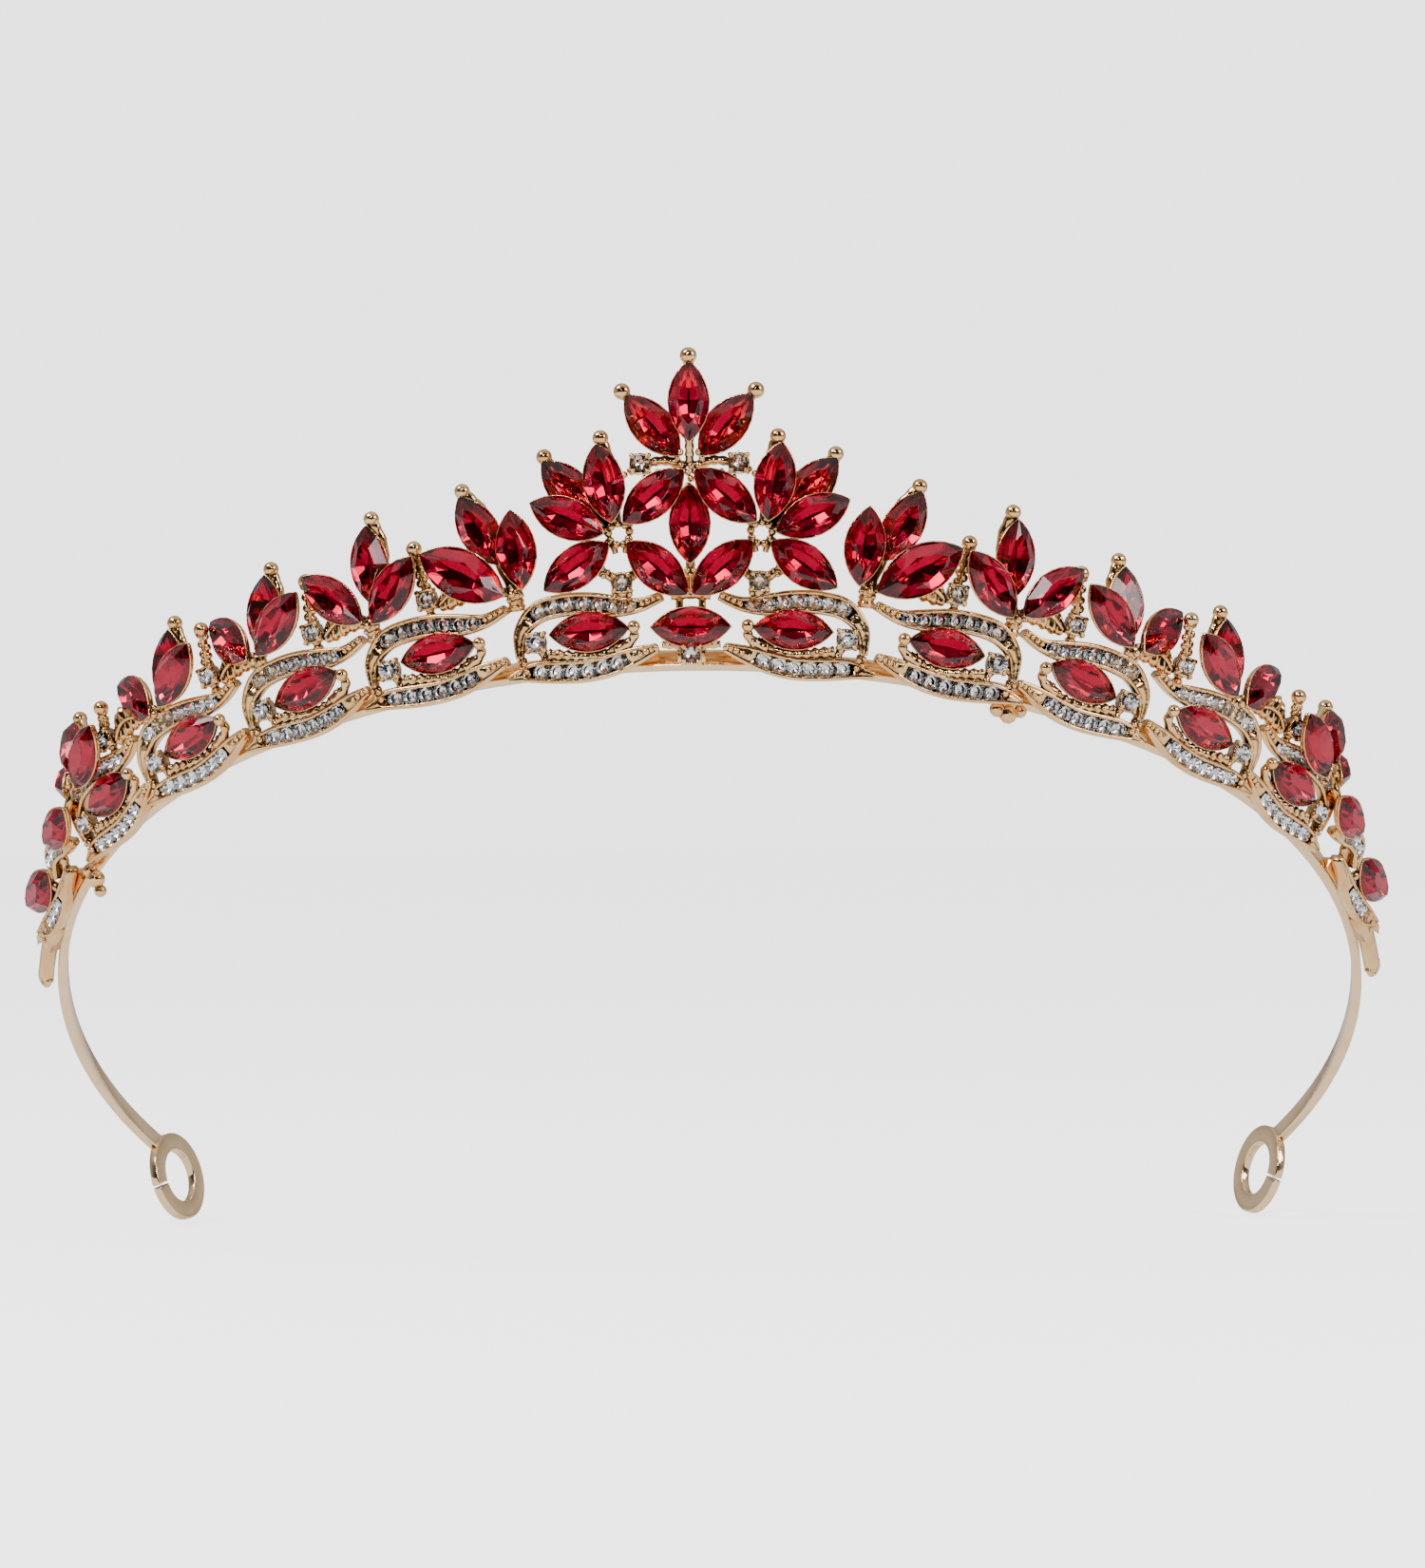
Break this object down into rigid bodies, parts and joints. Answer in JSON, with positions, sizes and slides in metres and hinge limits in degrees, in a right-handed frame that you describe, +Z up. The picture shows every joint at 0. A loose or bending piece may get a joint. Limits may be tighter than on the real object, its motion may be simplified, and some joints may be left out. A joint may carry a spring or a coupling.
{
  "type": "tiara",
  "caption": "Open C-shaped tiara: flat band with end loops, leaning cast ornament of vine leaves and fans of red marquise stones with small clear stones.",
  "frame": {"origin": "middle of the head opening, halfway between the band's front and its end loops, at the mount head_seat", "axes": "+Z up as worn, -Y towards the front, +X towards the wearer's left, which is the right side seen from the front; left and right in node names are as seen from the front; the band tips down by 36 degrees from front to back"},
  "size_m": [0.158, 0.091, 0.0999],
  "materials": {
    "band_gold": "polished pale gold plate",
    "cast_gold": "bright pale gold plate, darker in the recesses",
    "red_stone": "faceted foil-backed red glass",
    "clear_stone": "faceted foil-backed clear glass"
  },
  "bodies": {
    "root": {"head_band": "band_gold", "left_end_loop": "band_gold", "right_end_loop": "band_gold", "solder_pads": "cast_gold", "solder_knobs": "cast_gold", "centre_vine": "cast_gold", "centre_spray": "cast_gold", "peak_spray": "cast_gold", "centre_stone": "red_stone", "peak_stones": "red_stone", "row_stones": "red_stone", "left_vine_1": "cast_gold", "left_vine_2": "cast_gold", "left_vine_3": "cast_gold", "left_vine_4": "cast_gold", "left_vine_5": "cast_gold", "left_vine_6": "cast_gold", "right_vine_1": "cast_gold", "right_vine_2": "cast_gold", "right_vine_3": "cast_gold", "right_vine_4": "cast_gold", "right_vine_5": "cast_gold", "right_vine_6": "cast_gold", "left_vine_stones_1": "clear_stone", "left_vine_stones_2": "clear_stone", "left_vine_stones_3": "clear_stone", "left_vine_stones_4": "clear_stone", "left_vine_stones_5": "clear_stone", "left_vine_stones_6": "clear_stone", "right_vine_stones_1": "clear_stone", "right_vine_stones_2": "clear_stone", "right_vine_stones_3": "clear_stone", "right_vine_stones_4": "clear_stone", "right_vine_stones_5": "clear_stone", "right_vine_stones_6": "clear_stone", "left_flower": "cast_gold", "right_flower": "cast_gold", "left_flower_stones": "red_stone", "right_flower_stones": "red_stone", "left_fan_1": "cast_gold", "left_fan_2": "cast_gold", "left_fan_3": "cast_gold", "left_fan_4": "cast_gold", "left_fan_5": "cast_gold", "right_fan_1": "cast_gold", "right_fan_2": "cast_gold", "right_fan_3": "cast_gold", "right_fan_4": "cast_gold", "right_fan_5": "cast_gold", "left_fan_stones_1": "red_stone", "left_fan_stones_2": "red_stone", "left_fan_stones_3": "red_stone", "left_fan_stones_4": "red_stone", "left_fan_stones_5": "red_stone", "right_fan_stones_1": "red_stone", "right_fan_stones_2": "red_stone", "right_fan_stones_3": "red_stone", "right_fan_stones_4": "red_stone", "right_fan_stones_5": "red_stone", "accent_stones": "clear_stone"}
  },
  "joints": []
}
